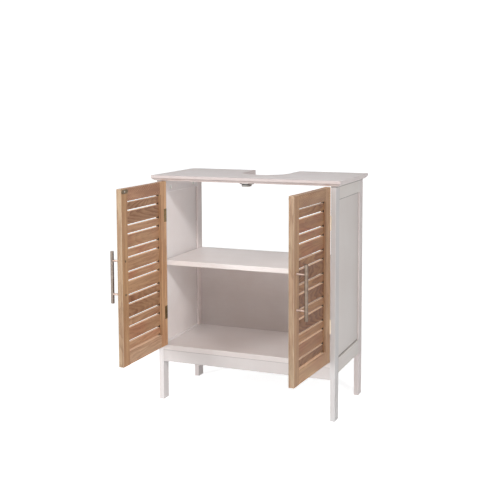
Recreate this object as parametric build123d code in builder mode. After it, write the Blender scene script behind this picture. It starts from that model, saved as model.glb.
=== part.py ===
from build123d import *
import os
from math import cos, radians, sin

# Free-standing cabinet that goes under a basin, with two slatted doors. Millimetres, +Z up, the
# front towards -Y. Origin on the floor, under the middle of the cabinet with both doors open.

# ---- overall ----
cabinet_width = 600.0
cabinet_height = 700.0
cabinet_depth = 300.0
front_y = -11.4  # plane of the posts' front faces
eased_edge = 1.0  # radius on the long edges of the wooden pieces

# ---- top panel ----
top_thickness = 16.0
top_side_overhang = 16.0
top_front_overhang = 10.0
top_bevel = 8.0  # rise and run of the bevel under the front and side edges
cutout_radius = 75.0
cutout_length = 172.0  # from the back edge to the front of the round end

# ---- posts, rails and side panels ----
post_width = 15.0
post_depth = 35.0
top_rail_height = 40.0
bottom_rail_height = 43.5
bottom_rail_z = 136.0
panel_thickness = 5.0
groove_depth = 5.0
panel_slack = 0.1  # between a panel's face and the wall of its groove
edge_slack = 0.3  # between a panel's edge and the floor of its groove

# ---- boards ----
bottom_board_z = 158.0
bottom_board_thickness = 16.0
shelf_z = 421.0
shelf_thickness = 15.0
shelf_setback = 18.0
apron_height = 36.0
apron_thickness = 15.0
back_panel_inset = 6.0  # from the posts' rear faces

# ---- dowels, all of one thickness ----
dowel_radius = 3.0
dowel_slack = 0.05
dowel_end_slack = 0.5
dowel_chamfer = 0.6
rail_dowel_depth = 15.0  # in the post and in the rail
rail_dowel_spacing = 16.0
board_dowel_depth_in_post = 9.5
board_dowel_depth_in_board = 19.0
board_dowel_from_front = 10.0
board_dowel_from_back = 14.0
shelf_dowel_from_edge = 8.0
shelf_dowel_from_back = 24.0

# ---- cam fittings that hold the top ----
cam_radius = 6.0
cam_length = 12.0
cam_slack = 0.1
cam_below_top = 26.0
cam_from_post = 30.0
cam_bolt_radius = 3.0
cam_bolt_neck_radius = 1.8
cam_bolt_head_height = 2.5
cam_bolt_thread_radius = 2.5
cam_bolt_thread_length = 10.5
cam_slot_width = 1.4
cam_slot_depth = 1.5

# ---- doors ----
door_thickness = 16.0
door_side_gap = 1.0
door_meeting_gap = 3.0
door_top_gap = 2.0
door_bottom_gap = 2.0
left_open_angle = 90.5
right_open_angle = 86.5
hinge_stile_width = 40.0
free_stile_width = 35.0
door_top_rail_height = 36.5
door_bottom_rail_height = 39.0
tenon_thickness = 5.0
tenon_length = 7.5
tenon_slack = 0.1
tenon_end_slack = 0.5
frame_step_width = 2.5  # small step that runs round the slats on both faces of the frame
hinge_step_width = 5.0  # the same step on the hinge stile
frame_step_depth = 1.2
wide_slat_count = 6
narrow_slat_share = 0.577  # height of a narrow slat over that of a wide one
slat_slot = 4.0
slat_thickness = 6.0
slat_edge_radius = 1.5

# ---- hinges ----
hinge_height = 40.0
hinge_from_door_end = 103.0
leaf_thickness = 1.2
leaf_proud = 0.2
post_leaf_length = 26.0
door_leaf_wrap = 16.0
leaf_end_slack = 0.1
knuckle_radius = 2.3
knuckle_count = 5
knuckle_gap = 0.3
knuckle_clearance = 0.4  # round the knuckles, in the wood and in the facing leaf
pin_radius = 1.0
pin_slack = 0.05
pin_cap_radius = 2.0
pin_cap_height = 1.2
leaf_screw_spacing = 24.0
post_leaf_screw_setback = 15.0
door_leaf_screw_inset = 9.0

# ---- wood screws of leaves, strike plates and catch ----
screw_radius = 1.25
screw_head_radius = 2.6
screw_head_height = 1.3
screw_length = 11.0
screw_tip = 2.0
screw_slack = 0.05
screw_slot_width = 0.7
screw_slot_depth = 0.6

# ---- handles ----
handle_length = 150.0
handle_radius = 5.0
handle_reach = 27.0  # from the door's outer face to the bar's axis
standoff_radius = 4.0
standoff_spacing = 96.0
spigot_radius = 2.0
spigot_depth = 2.5  # past the bar's skin
handle_slack = 0.05
handle_screw_radius = 2.0
handle_screw_head_radius = 4.0
handle_screw_head_height = 2.4
handle_screw_bite = 8.0  # thread inside the standoff
handle_screw_hole_radius = 2.3

# ---- strike plates and magnetic catch ----
strike_length = 36.0
strike_height = 12.0
strike_thickness = 1.2
strike_from_free_edge = 19.0
strike_from_door_top = 8.3
catch_gap = 0.3  # between the pole plates and the closed doors' strike plates
catch_width = 25.0
catch_depth = 22.0
catch_height = 12.5
catch_flange_width = 44.0
catch_flange_depth = 14.0
catch_flange_thickness = 5.0
catch_screw_spacing = 36.0
catch_screw_length = 14.0
pole_plate_thickness = 1.5
pole_plate_width = 21.0
pole_plate_length = 16.0
pole_plate_proud = 0.5
magnet_thickness = 5.0
magnet_length = 14.0
catch_slack = 0.1

# ---- derived ----
carcass_half = cabinet_width / 2 - top_side_overhang
post_inner = carcass_half - post_width
side_middle = carcass_half - post_width / 2
under_top = cabinet_height - top_thickness
top_front_y = front_y - top_front_overhang
back_y = top_front_y + cabinet_depth
front_post_back_y = front_y + post_depth
rear_post_y = back_y - post_depth
cutout_centre_y = back_y - cutout_length + cutout_radius
bottom_rail_top = bottom_rail_z + bottom_rail_height
top_rail_z = under_top - top_rail_height
bottom_board_top = bottom_board_z + bottom_board_thickness
apron_z = bottom_board_z - apron_height
back_panel_y = back_y - back_panel_inset - panel_thickness
panel_reach = groove_depth - edge_slack
cam_z = under_top - cam_below_top
cam_ys = (front_post_back_y + cam_from_post, rear_post_y - cam_from_post)

pin_x = post_inner - door_side_gap / 2
pin_y = front_y  # in the plane of the closed doors' outer faces
door_width = post_inner - door_side_gap - door_meeting_gap / 2
door_z = bottom_board_top + door_bottom_gap
door_height = under_top - door_top_gap - door_z
free_stile_s = door_width - free_stile_width
slat_zone = door_height - door_bottom_rail_height - door_top_rail_height
narrow_slat_count = wide_slat_count + 1
slot_count = wide_slat_count + narrow_slat_count + 1
slat_shares = wide_slat_count + narrow_slat_share * narrow_slat_count
wide_slat_height = (slat_zone - slot_count * slat_slot) / slat_shares
narrow_slat_height = narrow_slat_share * wide_slat_height
slat_pitch = wide_slat_height + narrow_slat_height + 2 * slat_slot
slat_recess = (door_thickness - slat_thickness) / 2
leaf_recess = leaf_thickness - leaf_proud
hinge_heights = (hinge_from_door_end, door_height - hinge_from_door_end)
knuckle_pitch = hinge_height / knuckle_count
tab_length = knuckle_radius + 2 * knuckle_clearance
handle_s = door_width - free_stile_width / 2
standoff_heights = tuple(door_height / 2 + k * standoff_spacing / 2 for k in (-1, 1))
strike_s = door_width - strike_from_free_edge
strike_h = door_height - strike_from_door_top
pole_front_y = front_y + door_thickness + strike_thickness + catch_gap
catch_front_y = pole_front_y + pole_plate_proud
catch_z = under_top - catch_height
pole_stack = 2 * pole_plate_thickness + magnet_thickness
pole_stack_z = catch_z + (catch_height - pole_stack) / 2

SIDES = {"left": -1, "right": 1}
SIDE_RAIL_SPANS = {"top": (top_rail_z, under_top), "bottom": (bottom_rail_z, bottom_rail_top)}
UP_FROM_PLACE = (Align.CENTER, Align.CENTER, Align.MIN)


def save(builder, name):
    """Names the finished piece and writes it."""
    builder.part.label = name
    export_step(builder.part, f"parts/{name}.step")


def facing(point, direction):
    """Place at a point with its Z axis along a direction."""
    return Plane(origin=point, z_dir=direction).location


def block(x_span, y_span, z_span, mode=Mode.ADD):
    """Box between two limits on each axis."""
    spans = (x_span, y_span, z_span)
    middle = tuple((a + b) / 2 for a, b in spans)
    size = tuple(abs(b - a) for a, b in spans)
    with Locations(middle):
        Box(*size, mode=mode)


def ease(builder, axis, radius=eased_edge):
    """Rounds the edges of the piece made so far that run along an axis."""
    fillet(builder.edges().filter_by(axis), radius)


def sided(side, inner, outer):
    """Limits in X on one side of the centre plane."""
    return (side * inner, side * outer)


def rod(places, radius, start, end, mode=Mode.ADD):
    """Round rod or bore along each place's Z axis."""
    with Locations(*[place * Pos(0, 0, start) for place in places]):
        Cylinder(radius, end - start, align=UP_FROM_PLACE, mode=mode)


def taper(places, first_radius, last_radius, start, end, mode=Mode.ADD):
    """Cone frustum along each place's Z axis."""
    with Locations(*[place * Pos(0, 0, start) for place in places]):
        Cone(first_radius, last_radius, end - start, align=UP_FROM_PLACE, mode=mode)


def slot_cut(places, length, width, depth):
    """Straight driver slot cut into each place along its Z axis."""
    with Locations(*places):
        Box(length, width, depth, align=UP_FROM_PLACE, mode=Mode.SUBTRACT)


# ---------------------------------------------------------------- dowels and screws


def rail_dowel_places(sides, rail_names, ends):
    """Places on the posts' edges, Z into the rail."""
    faces = {"front": (front_post_back_y, 1), "rear": (rear_post_y, -1)}
    places = []
    for side in sides:
        for rail_name in rail_names:
            for end in ends:
                face_y, inward = faces[end]
                for k in (-1, 1):
                    z = sum(SIDE_RAIL_SPANS[rail_name]) / 2 + k * rail_dowel_spacing / 2
                    places.append(facing((side * side_middle, face_y, z), (0, inward, 0)))
    return places


def board_dowel_places(sides, ys, z):
    """Places on the posts' inner faces, Z into the board."""
    return [facing((s * post_inner, y, z), (-s, 0, 0)) for s in sides for y in ys]


bottom_board_dowel_ys = (front_y + board_dowel_from_front, back_y - board_dowel_from_back)
shelf_dowel_ys = (front_y + shelf_setback + shelf_dowel_from_edge, back_y - shelf_dowel_from_back)
apron_dowel_ys = (front_y + apron_thickness / 2,)
bottom_board_dowel_z = bottom_board_z + bottom_board_thickness / 2
shelf_dowel_z = shelf_z + shelf_thickness / 2
apron_dowel_z = apron_z + apron_height / 2


def dowel(places, depth_behind, depth_ahead):
    """Dowel with chamfered ends at each place."""
    slim = dowel_radius - dowel_chamfer
    rod(places, dowel_radius, dowel_chamfer - depth_behind, depth_ahead - dowel_chamfer)
    taper(places, slim, dowel_radius, -depth_behind, dowel_chamfer - depth_behind)
    taper(places, dowel_radius, slim, depth_ahead - dowel_chamfer, depth_ahead)


def dowel_bore(places, depth_behind, depth_ahead):
    """Blind bores on both sides of a joint."""
    start = -(depth_behind + dowel_end_slack)
    end = depth_ahead + dowel_end_slack
    rod(places, dowel_radius + dowel_slack, start, end, Mode.SUBTRACT)


def rail_bores(sides, rail_names, ends):
    """Bores of the rail dowels."""
    places = rail_dowel_places(sides, rail_names, ends)
    dowel_bore(places, rail_dowel_depth, rail_dowel_depth)


def board_bores(sides, ys, z):
    """Bores of the dowels between posts and a board."""
    places = board_dowel_places(sides, ys, z)
    dowel_bore(places, board_dowel_depth_in_post, board_dowel_depth_in_board)


def countersunk_screw(places, length):
    """Slotted wood screw at each place, head flush with the place, tip along its Z axis."""
    taper(places, screw_head_radius, screw_radius, 0, screw_head_height)
    rod(places, screw_radius, screw_head_height, length - screw_tip)
    taper(places, screw_radius, screw_radius / 4, length - screw_tip, length)
    slot_cut(places, 2 * screw_head_radius, screw_slot_width, screw_slot_depth)


def countersunk_seat(places, length):
    """Room for a countersunk screw: the head's cone and a pilot bore."""
    head = screw_head_radius + screw_slack
    shank = screw_radius + screw_slack
    taper(places, head, shank, 0, screw_head_height, Mode.SUBTRACT)
    rod(places, shank, 0, length + dowel_end_slack, Mode.SUBTRACT)


# ---------------------------------------------------------------- carcass


def hinge_zs():
    """Heights of the hinges' middles above the floor."""
    return [door_z + h for h in hinge_heights]


def pin_places(side):
    """Upright pin axes at the hinges' middles."""
    return [facing((side * pin_x, pin_y, z), (0, 0, 1)) for z in hinge_zs()]


def knuckle_notch(axes):
    """Round notch in a wooden corner for the knuckles and the pin's caps."""
    end = hinge_height / 2 + pin_cap_height + knuckle_clearance
    rod(axes, knuckle_radius + knuckle_clearance, -end, end, Mode.SUBTRACT)


def post_leaf_screw_places(side):
    """Screws of the post's leaves, driven outwards into the post."""
    x = side * (post_inner - leaf_proud)
    y = front_y + post_leaf_screw_setback
    offsets = (-leaf_screw_spacing / 2, leaf_screw_spacing / 2)
    return [facing((x, y, z + dz), (side, 0, 0)) for z in hinge_zs() for dz in offsets]


def cam_places(side):
    """Cam fittings on the top rail's inner face, Z into the rail."""
    return [facing((side * post_inner, y, cam_z), (side, 0, 0)) for y in cam_ys]


def cam_bolt_places(side):
    """Upright axes of the cam bolts at the cams' height."""
    return [facing((side * side_middle, y, cam_z), (0, 0, 1)) for y in cam_ys]


def catch_screw_places():
    """Screws through the catch's flange, driven up into the top panel."""
    y = catch_front_y + catch_depth / 2
    z = under_top - catch_flange_thickness
    return [facing((k * catch_screw_spacing / 2, y, z), (0, 0, 1)) for k in (-1, 1)]


def post_grooves(side, y_span):
    """Groove for the side panel in a post's edge."""
    half = panel_thickness / 2 + panel_slack
    z_span = (bottom_rail_top - groove_depth, top_rail_z + groove_depth)
    block(sided(side, side_middle - half, side_middle + half), y_span, z_span, Mode.SUBTRACT)


def back_panel_groove(x_span, z_span):
    """Groove for the back panel."""
    y_span = (back_panel_y - panel_slack, back_panel_y + panel_thickness + panel_slack)
    block(x_span, y_span, z_span, Mode.SUBTRACT)


def build_front_post(side):
    """Front corner post with the mortises of the hinge leaves."""
    with BuildPart() as post:
        block(sided(side, post_inner, carcass_half), (front_y, front_post_back_y), (0, under_top))
        ease(post, Axis.Z)
        post_grooves(side, (front_post_back_y - groove_depth, front_post_back_y))
        rail_bores((side,), ("top", "bottom"), ("front",))
        board_bores((side,), bottom_board_dowel_ys[:1], bottom_board_dowel_z)
        board_bores((side,), shelf_dowel_ys[:1], shelf_dowel_z)
        board_bores((side,), apron_dowel_ys, apron_dowel_z)
        half = hinge_height / 2 + leaf_end_slack
        y_span = (front_y, front_y + post_leaf_length + leaf_end_slack)
        for z in hinge_zs():
            x_span = sided(side, post_inner, post_inner + leaf_recess)
            block(x_span, y_span, (z - half, z + half), Mode.SUBTRACT)
        knuckle_notch(pin_places(side))
        countersunk_seat(post_leaf_screw_places(side), screw_length)
    return post


def build_rear_post(side):
    """Rear corner post with the groove of the back panel."""
    with BuildPart() as post:
        block(sided(side, post_inner, carcass_half), (rear_post_y, back_y), (0, under_top))
        ease(post, Axis.Z)
        post_grooves(side, (rear_post_y, rear_post_y + groove_depth))
        rail_bores((side,), ("top", "bottom"), ("rear",))
        board_bores((side,), bottom_board_dowel_ys[1:], bottom_board_dowel_z)
        board_bores((side,), shelf_dowel_ys[1:], shelf_dowel_z)
        x_span = sided(side, post_inner, post_inner + groove_depth)
        back_panel_groove(x_span, (bottom_board_z, shelf_z + shelf_thickness))
    return post


def build_side_rail(side, rail_name):
    """Side rail between the posts, grooved for the side panel."""
    low, high = SIDE_RAIL_SPANS[rail_name]
    groove = (low, low + groove_depth) if rail_name == "top" else (high - groove_depth, high)
    half = panel_thickness / 2 + panel_slack
    y_span = (front_post_back_y, rear_post_y)
    with BuildPart() as rail:
        block(sided(side, post_inner, carcass_half), y_span, (low, high))
        ease(rail, Axis.Y)
        block(sided(side, side_middle - half, side_middle + half), y_span, groove, Mode.SUBTRACT)
        rail_bores((side,), (rail_name,), ("front", "rear"))
        if rail_name == "top":
            rod(cam_places(side), cam_radius + cam_slack, 0, cam_length + cam_slack, Mode.SUBTRACT)
            rod(cam_bolt_places(side), cam_bolt_radius + cam_slack, 0, cam_below_top, Mode.SUBTRACT)
    return rail


def build_side_panel(side):
    """Thin panel held in the grooves of posts and rails."""
    half = panel_thickness / 2
    x_span = sided(side, side_middle - half, side_middle + half)
    y_span = (front_post_back_y - panel_reach, rear_post_y + panel_reach)
    with BuildPart() as panel:
        block(x_span, y_span, (bottom_rail_top - groove_depth, top_rail_z + panel_reach))
    return panel


with BuildPart() as top_panel:
    block((-cabinet_width / 2, cabinet_width / 2), (top_front_y, back_y), (under_top, cabinet_height))
    under_edges = top_panel.faces().sort_by(Axis.Z)[0].edges().sort_by(Axis.Y)[:-1]
    chamfer(under_edges, top_bevel)
    with Locations((0, cutout_centre_y, under_top)):
        Cylinder(cutout_radius, top_thickness, align=UP_FROM_PLACE, mode=Mode.SUBTRACT)
    block((-cutout_radius, cutout_radius), (cutout_centre_y, back_y), (under_top, cabinet_height),
          Mode.SUBTRACT)
    fillet(top_panel.faces().sort_by(Axis.Z)[-1].edges(), eased_edge)
    for side in SIDES.values():
        rod(cam_bolt_places(side), cam_bolt_thread_radius + dowel_slack, cam_below_top,
            cam_below_top + cam_bolt_thread_length + dowel_end_slack, Mode.SUBTRACT)
    rod(catch_screw_places(), screw_radius + screw_slack, catch_flange_thickness,
        catch_screw_length + dowel_end_slack, Mode.SUBTRACT)

with BuildPart() as bottom_board:
    block((-post_inner, post_inner), (front_y, back_y), (bottom_board_z, bottom_board_top))
    ease(bottom_board, Axis.X)
    back_panel_groove((-post_inner, post_inner), (bottom_board_top - groove_depth, bottom_board_top))
    board_bores(SIDES.values(), bottom_board_dowel_ys, bottom_board_dowel_z)

with BuildPart() as shelf:
    block((-post_inner, post_inner), (front_y + shelf_setback, back_y),
          (shelf_z, shelf_z + shelf_thickness))
    ease(shelf, Axis.X)
    back_panel_groove((-post_inner, post_inner), (shelf_z, shelf_z + groove_depth))
    board_bores(SIDES.values(), shelf_dowel_ys, shelf_dowel_z)

with BuildPart() as front_apron:
    block((-post_inner, post_inner), (front_y, front_y + apron_thickness), (apron_z, bottom_board_z))
    ease(front_apron, Axis.X)
    board_bores(SIDES.values(), apron_dowel_ys, apron_dowel_z)

with BuildPart() as back_panel:
    block((-post_inner - panel_reach, post_inner + panel_reach),
          (back_panel_y, back_panel_y + panel_thickness),
          (bottom_board_top - groove_depth, shelf_z + panel_reach))

with BuildPart() as rail_dowels:
    dowel(rail_dowel_places(SIDES.values(), ("top", "bottom"), ("front", "rear")),
          rail_dowel_depth, rail_dowel_depth)

with BuildPart() as bottom_board_dowels:
    dowel(board_dowel_places(SIDES.values(), bottom_board_dowel_ys, bottom_board_dowel_z),
          board_dowel_depth_in_post, board_dowel_depth_in_board)

with BuildPart() as shelf_dowels:
    dowel(board_dowel_places(SIDES.values(), shelf_dowel_ys, shelf_dowel_z),
          board_dowel_depth_in_post, board_dowel_depth_in_board)

with BuildPart() as apron_dowels:
    dowel(board_dowel_places(SIDES.values(), apron_dowel_ys, apron_dowel_z),
          board_dowel_depth_in_post, board_dowel_depth_in_board)

all_cam_places = cam_places(-1) + cam_places(1)
all_cam_bolt_places = cam_bolt_places(-1) + cam_bolt_places(1)
cam_head_top = cam_bolt_head_height / 2

with BuildPart() as top_cam_locks:
    rod(all_cam_places, cam_radius, 0, cam_length)
    slot_cut(all_cam_places, 1.4 * cam_radius, cam_slot_width, cam_slot_depth)
    with Locations(*[place * Rot(0, 0, 90) for place in all_cam_places]):
        Box(1.4 * cam_radius, cam_slot_width, cam_slot_depth, align=UP_FROM_PLACE,
            mode=Mode.SUBTRACT)
    rod(all_cam_bolt_places, cam_bolt_radius + 4 * cam_slack, -cam_head_top - 4 * cam_slack,
        cam_head_top + 4 * cam_slack, Mode.SUBTRACT)
    rod(all_cam_bolt_places, cam_bolt_neck_radius + 4 * cam_slack, 0, 1.5 * cam_radius, Mode.SUBTRACT)

with BuildPart() as top_cam_bolts:
    neck_top = cam_radius + 2 * cam_slack
    rod(all_cam_bolt_places, cam_bolt_radius, -cam_head_top, cam_head_top)
    rod(all_cam_bolt_places, cam_bolt_neck_radius, cam_head_top, neck_top)
    rod(all_cam_bolt_places, cam_bolt_radius, neck_top, cam_below_top)
    rod(all_cam_bolt_places, cam_bolt_thread_radius, cam_below_top,
        cam_below_top + cam_bolt_thread_length)

catch_back_y = catch_front_y + catch_depth
catch_middle_y = (catch_front_y + catch_back_y) / 2

with BuildPart() as catch_housing:
    block((-catch_width / 2, catch_width / 2), (catch_front_y, catch_back_y), (catch_z, under_top))
    block((-catch_flange_width / 2, catch_flange_width / 2),
          (catch_middle_y - catch_flange_depth / 2, catch_middle_y + catch_flange_depth / 2),
          (under_top - catch_flange_thickness, under_top))
    half = pole_plate_width / 2 + catch_slack
    block((-half, half), (catch_front_y, pole_front_y + pole_plate_length + catch_slack),
          (pole_stack_z - catch_slack, pole_stack_z + pole_stack + catch_slack), Mode.SUBTRACT)
    countersunk_seat(catch_screw_places(), catch_screw_length)

with BuildPart() as catch_pole_plates:
    for low in (pole_stack_z, pole_stack_z + pole_stack - pole_plate_thickness):
        block((-pole_plate_width / 2, pole_plate_width / 2),
              (pole_front_y, pole_front_y + pole_plate_length), (low, low + pole_plate_thickness))

with BuildPart() as catch_magnet:
    magnet_z = pole_stack_z + pole_plate_thickness
    block((-pole_plate_width / 2, pole_plate_width / 2),
          (pole_front_y + pole_plate_length - magnet_length, pole_front_y + pole_plate_length),
          (magnet_z, magnet_z + magnet_thickness))

with BuildPart() as catch_screws:
    countersunk_screw(catch_screw_places(), catch_screw_length)


# ---------------------------------------------------------------- hinges


def knuckle_spans(first):
    """Spans along the pin of every second knuckle, starting with the given one."""
    low = -hinge_height / 2
    slots = range(first, knuckle_count, 2)
    return [(low + i * knuckle_pitch + knuckle_gap / 2, low + (i + 1) * knuckle_pitch
             - knuckle_gap / 2) for i in slots]


def build_post_leaves(side):
    """Fixed leaves, let into the post's inner face, with every outer knuckle."""
    x_span = sided(side, post_inner - leaf_proud, post_inner + leaf_recess)
    half = hinge_height / 2
    with BuildPart() as leaves:
        for z in hinge_zs():
            block(x_span, (front_y, front_y + post_leaf_length), (z - half, z + half))
        rod(pin_places(side), knuckle_radius + knuckle_clearance, -half, half, Mode.SUBTRACT)
        for low, high in knuckle_spans(0):
            for z in hinge_zs():
                block(x_span, (pin_y, pin_y + tab_length), (z + low, z + high))
            rod(pin_places(side), knuckle_radius, low, high)
        rod(pin_places(side), pin_radius + pin_slack, -half, half, Mode.SUBTRACT)
        countersunk_seat(post_leaf_screw_places(side), screw_length)
    return leaves


def build_pins(side):
    """Pins with a cap at each end."""
    end = hinge_height / 2
    with BuildPart() as pins:
        rod(pin_places(side), pin_radius, -end, end)
        rod(pin_places(side), pin_cap_radius, end, end + pin_cap_height)
        rod(pin_places(side), pin_cap_radius, -end - pin_cap_height, -end)
    return pins


def build_post_leaf_screws(side):
    """Screws of the fixed leaves."""
    with BuildPart() as screws:
        countersunk_screw(post_leaf_screw_places(side), screw_length)
    return screws


# ---------------------------------------------------------------- doors
# A door is laid out from its hinge edge (s), from its foot (h) and from its outer face (d).


def door_plane(side):
    """Frame of a door as it stands open: origin on the pin's axis at the door's foot, X along
    the door, Y up. Z leaves the outer face of the left door and the inner face of the right."""
    swing = radians(left_open_angle if side < 0 else right_open_angle)
    along = (-side * cos(swing), -sin(swing), 0)
    normal = (-sin(swing), side * cos(swing), 0)
    return Plane(origin=(side * pin_x, pin_y, door_z), x_dir=along, z_dir=normal)


def along_door(side):
    """Direction of the door's width as it stands open."""
    return Axis((0, 0, 0), door_plane(side).x_dir)


def door_point(side, s, h, d):
    """Point in the door's frame."""
    return (s + door_side_gap / 2, h, side * d)


def door_block(side, s_span, h_span, d_span, mode=Mode.ADD):
    """Box in a door between limits along s, h and d."""
    low = door_point(side, s_span[0], h_span[0], d_span[0])
    high = door_point(side, s_span[1], h_span[1], d_span[1])
    block(*zip(low, high), mode=mode)


def outwards(side, s, h, d):
    """Place in a door with its Z axis towards the outer side."""
    turn = 0 if side < 0 else 180
    return Location(door_point(side, s, h, d), (turn, 0, 0))


def stile_groove(side, s_span):
    """Groove of the tenons along a stile's edge."""
    half = tenon_thickness / 2 + tenon_slack
    middle = door_thickness / 2
    door_block(side, s_span, (0, door_height), (middle - half, middle + half), Mode.SUBTRACT)


def frame_step(side, s_span, h_span):
    """Small step on both faces of a frame piece."""
    for d_span in ((0, frame_step_depth), (door_thickness - frame_step_depth, door_thickness)):
        door_block(side, s_span, h_span, d_span, Mode.SUBTRACT)


def tenons(side, h_span):
    """Tenons at both ends of a rail or slat."""
    d_span = ((door_thickness - tenon_thickness) / 2, (door_thickness + tenon_thickness) / 2)
    door_block(side, (hinge_stile_width - tenon_length, free_stile_s + tenon_length), h_span, d_span)


def door_pin_axes(side):
    """The pins' axes in the door's frame, at the hinges' middles."""
    return [Location(door_point(side, -door_side_gap / 2, h, 0), (-90, 0, 0))
            for h in hinge_heights]


def leaf_mortises(side):
    """Recesses of the hinge leaves in the hinge edge and the inner face."""
    half = hinge_height / 2 + leaf_end_slack
    inner = (door_thickness - leaf_recess, door_thickness)
    for h in hinge_heights:
        h_span = (h - half, h + half)
        door_block(side, (0, leaf_recess), h_span, (0, door_thickness), Mode.SUBTRACT)
        door_block(side, (0, door_leaf_wrap + leaf_end_slack), h_span, inner, Mode.SUBTRACT)
    knuckle_notch(door_pin_axes(side))


def leaf_screw_places(side):
    """Screws of the door's leaves, driven from the inner side."""
    offsets = (-leaf_screw_spacing / 2, leaf_screw_spacing / 2)
    depth = door_thickness + leaf_proud
    return [outwards(side, door_leaf_screw_inset, h + dh, depth)
            for h in hinge_heights for dh in offsets]


def strike_screw_places(side):
    """Screw of the strike plate."""
    return [outwards(side, strike_s, strike_h, door_thickness + strike_thickness)]


def handle_places(side):
    """Axes of the standoffs, starting on the door's outer face."""
    return [outwards(side, handle_s, h, 0) for h in standoff_heights]


step_h_span = (door_bottom_rail_height - frame_step_width,
               door_height - door_top_rail_height + frame_step_width)


def build_hinge_stile(side):
    """Upright of the door frame that carries the hinges."""
    with BuildPart(door_plane(side)) as stile:
        door_block(side, (0, hinge_stile_width), (0, door_height), (0, door_thickness))
        ease(stile, Axis.Z)
        stile_groove(side, (hinge_stile_width - tenon_length - tenon_end_slack, hinge_stile_width))
        frame_step(side, (hinge_stile_width - hinge_step_width, hinge_stile_width), step_h_span)
        leaf_mortises(side)
        countersunk_seat(leaf_screw_places(side), screw_length)
    return stile


def build_free_stile(side):
    """Upright of the door frame that carries the handle and the strike plate."""
    with BuildPart(door_plane(side)) as stile:
        door_block(side, (free_stile_s, door_width), (0, door_height), (0, door_thickness))
        ease(stile, Axis.Z)
        stile_groove(side, (free_stile_s, free_stile_s + tenon_length + tenon_end_slack))
        frame_step(side, (free_stile_s, free_stile_s + frame_step_width), step_h_span)
        rod(handle_places(side), handle_screw_hole_radius, -door_thickness, 0, Mode.SUBTRACT)
        countersunk_seat(strike_screw_places(side), screw_length)
    return stile


def build_door_rail(side, h_span, step_span):
    """Cross piece of the door frame."""
    with BuildPart(door_plane(side)) as rail:
        door_block(side, (hinge_stile_width, free_stile_s), h_span, (0, door_thickness))
        ease(rail, along_door(side))
        tenons(side, h_span)
        frame_step(side, (hinge_stile_width, free_stile_s), step_span)
    return rail


def build_slats(side, first_h, height, count):
    """Equal slats set back from both faces of the frame, with tenons in the stiles."""
    lows = [first_h + i * slat_pitch for i in range(count)]
    with BuildPart(door_plane(side)) as slats:
        for low in lows:
            door_block(side, (hinge_stile_width, free_stile_s), (low, low + height),
                       (slat_recess, door_thickness - slat_recess))
        ease(slats, along_door(side), slat_edge_radius)
        for low in lows:
            tenons(side, (low, low + height))
    return slats


def build_door_leaves(side):
    """Moving leaves: along the hinge edge, wrapped onto the inner face, with the inner knuckles."""
    edge = (-leaf_proud, leaf_recess)
    inner = (door_thickness - leaf_recess, door_thickness + leaf_proud)
    axes = door_pin_axes(side)
    half = hinge_height / 2
    with BuildPart(door_plane(side)) as leaves:
        for h in hinge_heights:
            door_block(side, edge, (h - half, h + half), (0, door_thickness))
            door_block(side, (-leaf_proud, door_leaf_wrap), (h - half, h + half), inner)
        rod(axes, knuckle_radius + knuckle_clearance, -half, half, Mode.SUBTRACT)
        for low, high in knuckle_spans(1):
            for h in hinge_heights:
                door_block(side, edge, (h + low, h + high), (0, tab_length))
            rod(axes, knuckle_radius, low, high)
        rod(axes, pin_radius + pin_slack, -half, half, Mode.SUBTRACT)
        countersunk_seat(leaf_screw_places(side), screw_length)
    return leaves


def build_leaf_screws(side):
    """Screws of the moving leaves."""
    with BuildPart(door_plane(side)) as screws:
        countersunk_screw(leaf_screw_places(side), screw_length)
    return screws


def build_strike_plate(side):
    """Oval steel plate that the magnet holds."""
    face = outwards(side, strike_s, strike_h, door_thickness + strike_thickness)
    with BuildPart(door_plane(side)) as plate:
        with BuildSketch(Plane(door_plane(side).location * face)):
            SlotOverall(strike_length, strike_height)
        extrude(amount=strike_thickness)
        countersunk_seat(strike_screw_places(side), screw_length)
    return plate


def build_strike_screw(side):
    """Screw of the strike plate."""
    with BuildPart(door_plane(side)) as screw:
        countersunk_screw(strike_screw_places(side), screw_length)
    return screw


bar_skin = handle_reach - handle_radius
spigot_end = bar_skin + spigot_depth


def build_handle_bar(side):
    """Round upright bar with two blind seats for the standoffs."""
    with BuildPart(door_plane(side)) as bar:
        centre = Location(door_point(side, handle_s, door_height / 2, -handle_reach), (-90, 0, 0))
        rod([centre], handle_radius, -handle_length / 2, handle_length / 2)
        chamfer(bar.edges().filter_by(GeomType.CIRCLE), handle_radius / 10)
        rod(handle_places(side), spigot_radius + handle_slack, 0, spigot_end + handle_slack,
            Mode.SUBTRACT)
    return bar


def build_standoffs(side):
    """Standoffs saddled to the bar, each with a spigot and a threaded core."""
    with BuildPart(door_plane(side)) as standoffs:
        rod(handle_places(side), standoff_radius, 0, handle_reach)
        centre = Location(door_point(side, handle_s, door_height / 2, -handle_reach), (-90, 0, 0))
        rod([centre], handle_radius + handle_slack, -handle_length, handle_length, Mode.SUBTRACT)
        rod(handle_places(side), spigot_radius, bar_skin - handle_radius / 2, spigot_end)
        rod(handle_places(side), handle_screw_radius + handle_slack, 0,
            handle_screw_bite + dowel_end_slack, Mode.SUBTRACT)
    return standoffs


def build_handle_screws(side):
    """Round-headed screws from the inner face into the standoffs."""
    places = handle_places(side)
    head_start = -door_thickness - handle_screw_head_height
    with BuildPart(door_plane(side)) as screws:
        rod(places, handle_screw_head_radius, head_start, -door_thickness)
        chamfer(screws.edges().filter_by(GeomType.CIRCLE), handle_screw_head_height / 4)
        rod(places, handle_screw_radius, -door_thickness, handle_screw_bite)
        heads = [place * Pos(0, 0, head_start) for place in places]
        slot_cut(heads, 2 * handle_screw_head_radius, 2 * screw_slot_width, 2 * screw_slot_depth)
    return screws


# ---------------------------------------------------------------- writing the pieces

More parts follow.
